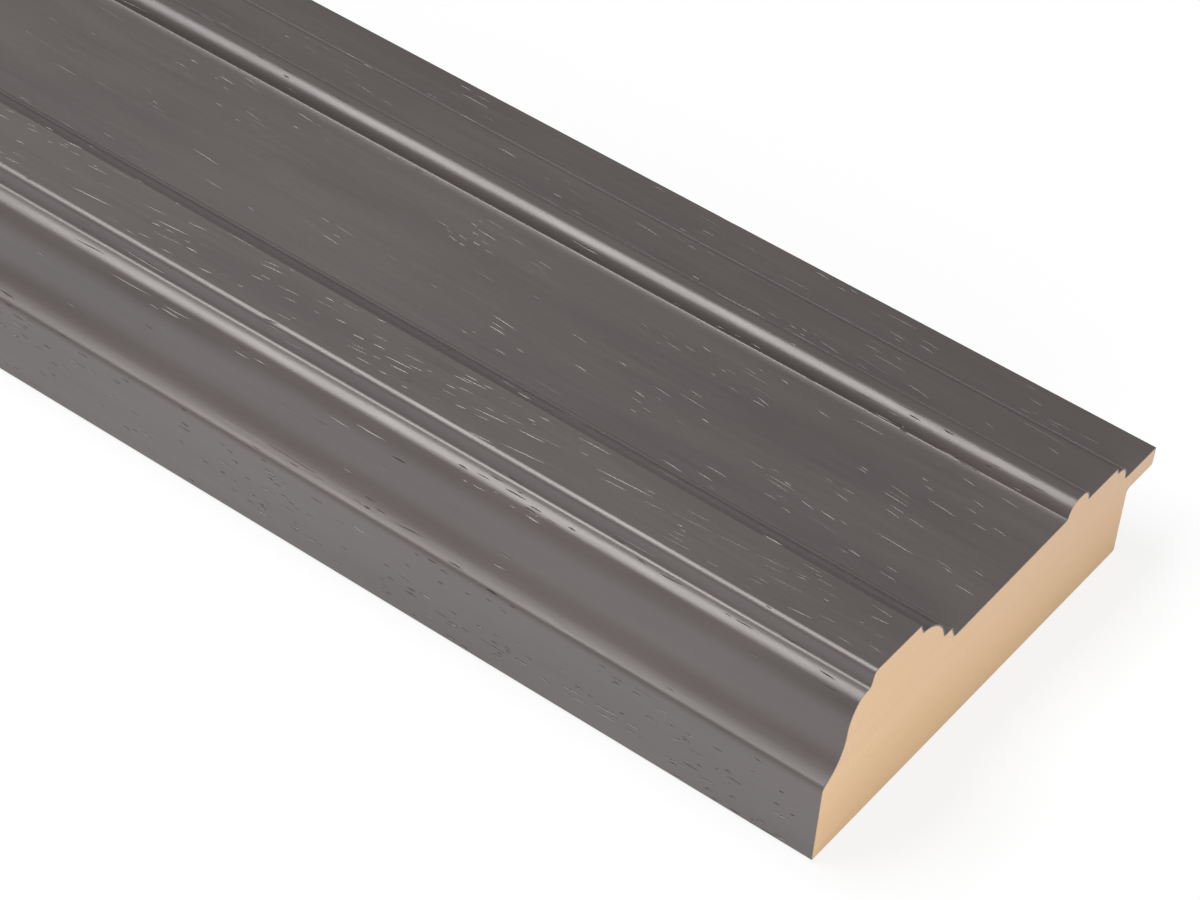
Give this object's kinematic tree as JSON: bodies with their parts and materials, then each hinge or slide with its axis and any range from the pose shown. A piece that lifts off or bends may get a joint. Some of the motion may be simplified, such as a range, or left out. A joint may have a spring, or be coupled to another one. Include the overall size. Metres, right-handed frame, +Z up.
{
  "type": "picture frame moulding",
  "caption": "Stick of wide timber frame moulding: ogee outer edge, raised crest, flat panel, bead at the sight edge and a rabbet in the back that takes glass and picture.",
  "frame": {"origin": "on the back, under the middle of the stick's length and of its face width", "axes": "+X along the stick, +Y across it from the outer face to the sight edge, +Z up out of the face"},
  "size_m": [1.2192, 0.0762, 0.0264],
  "materials": {
    "painted_timber": "satin warm charcoal paint over open-grained timber; sawn ends, back and rabbet bare"
  },
  "bodies": {
    "root": {"moulding": "painted_timber"}
  },
  "joints": []
}
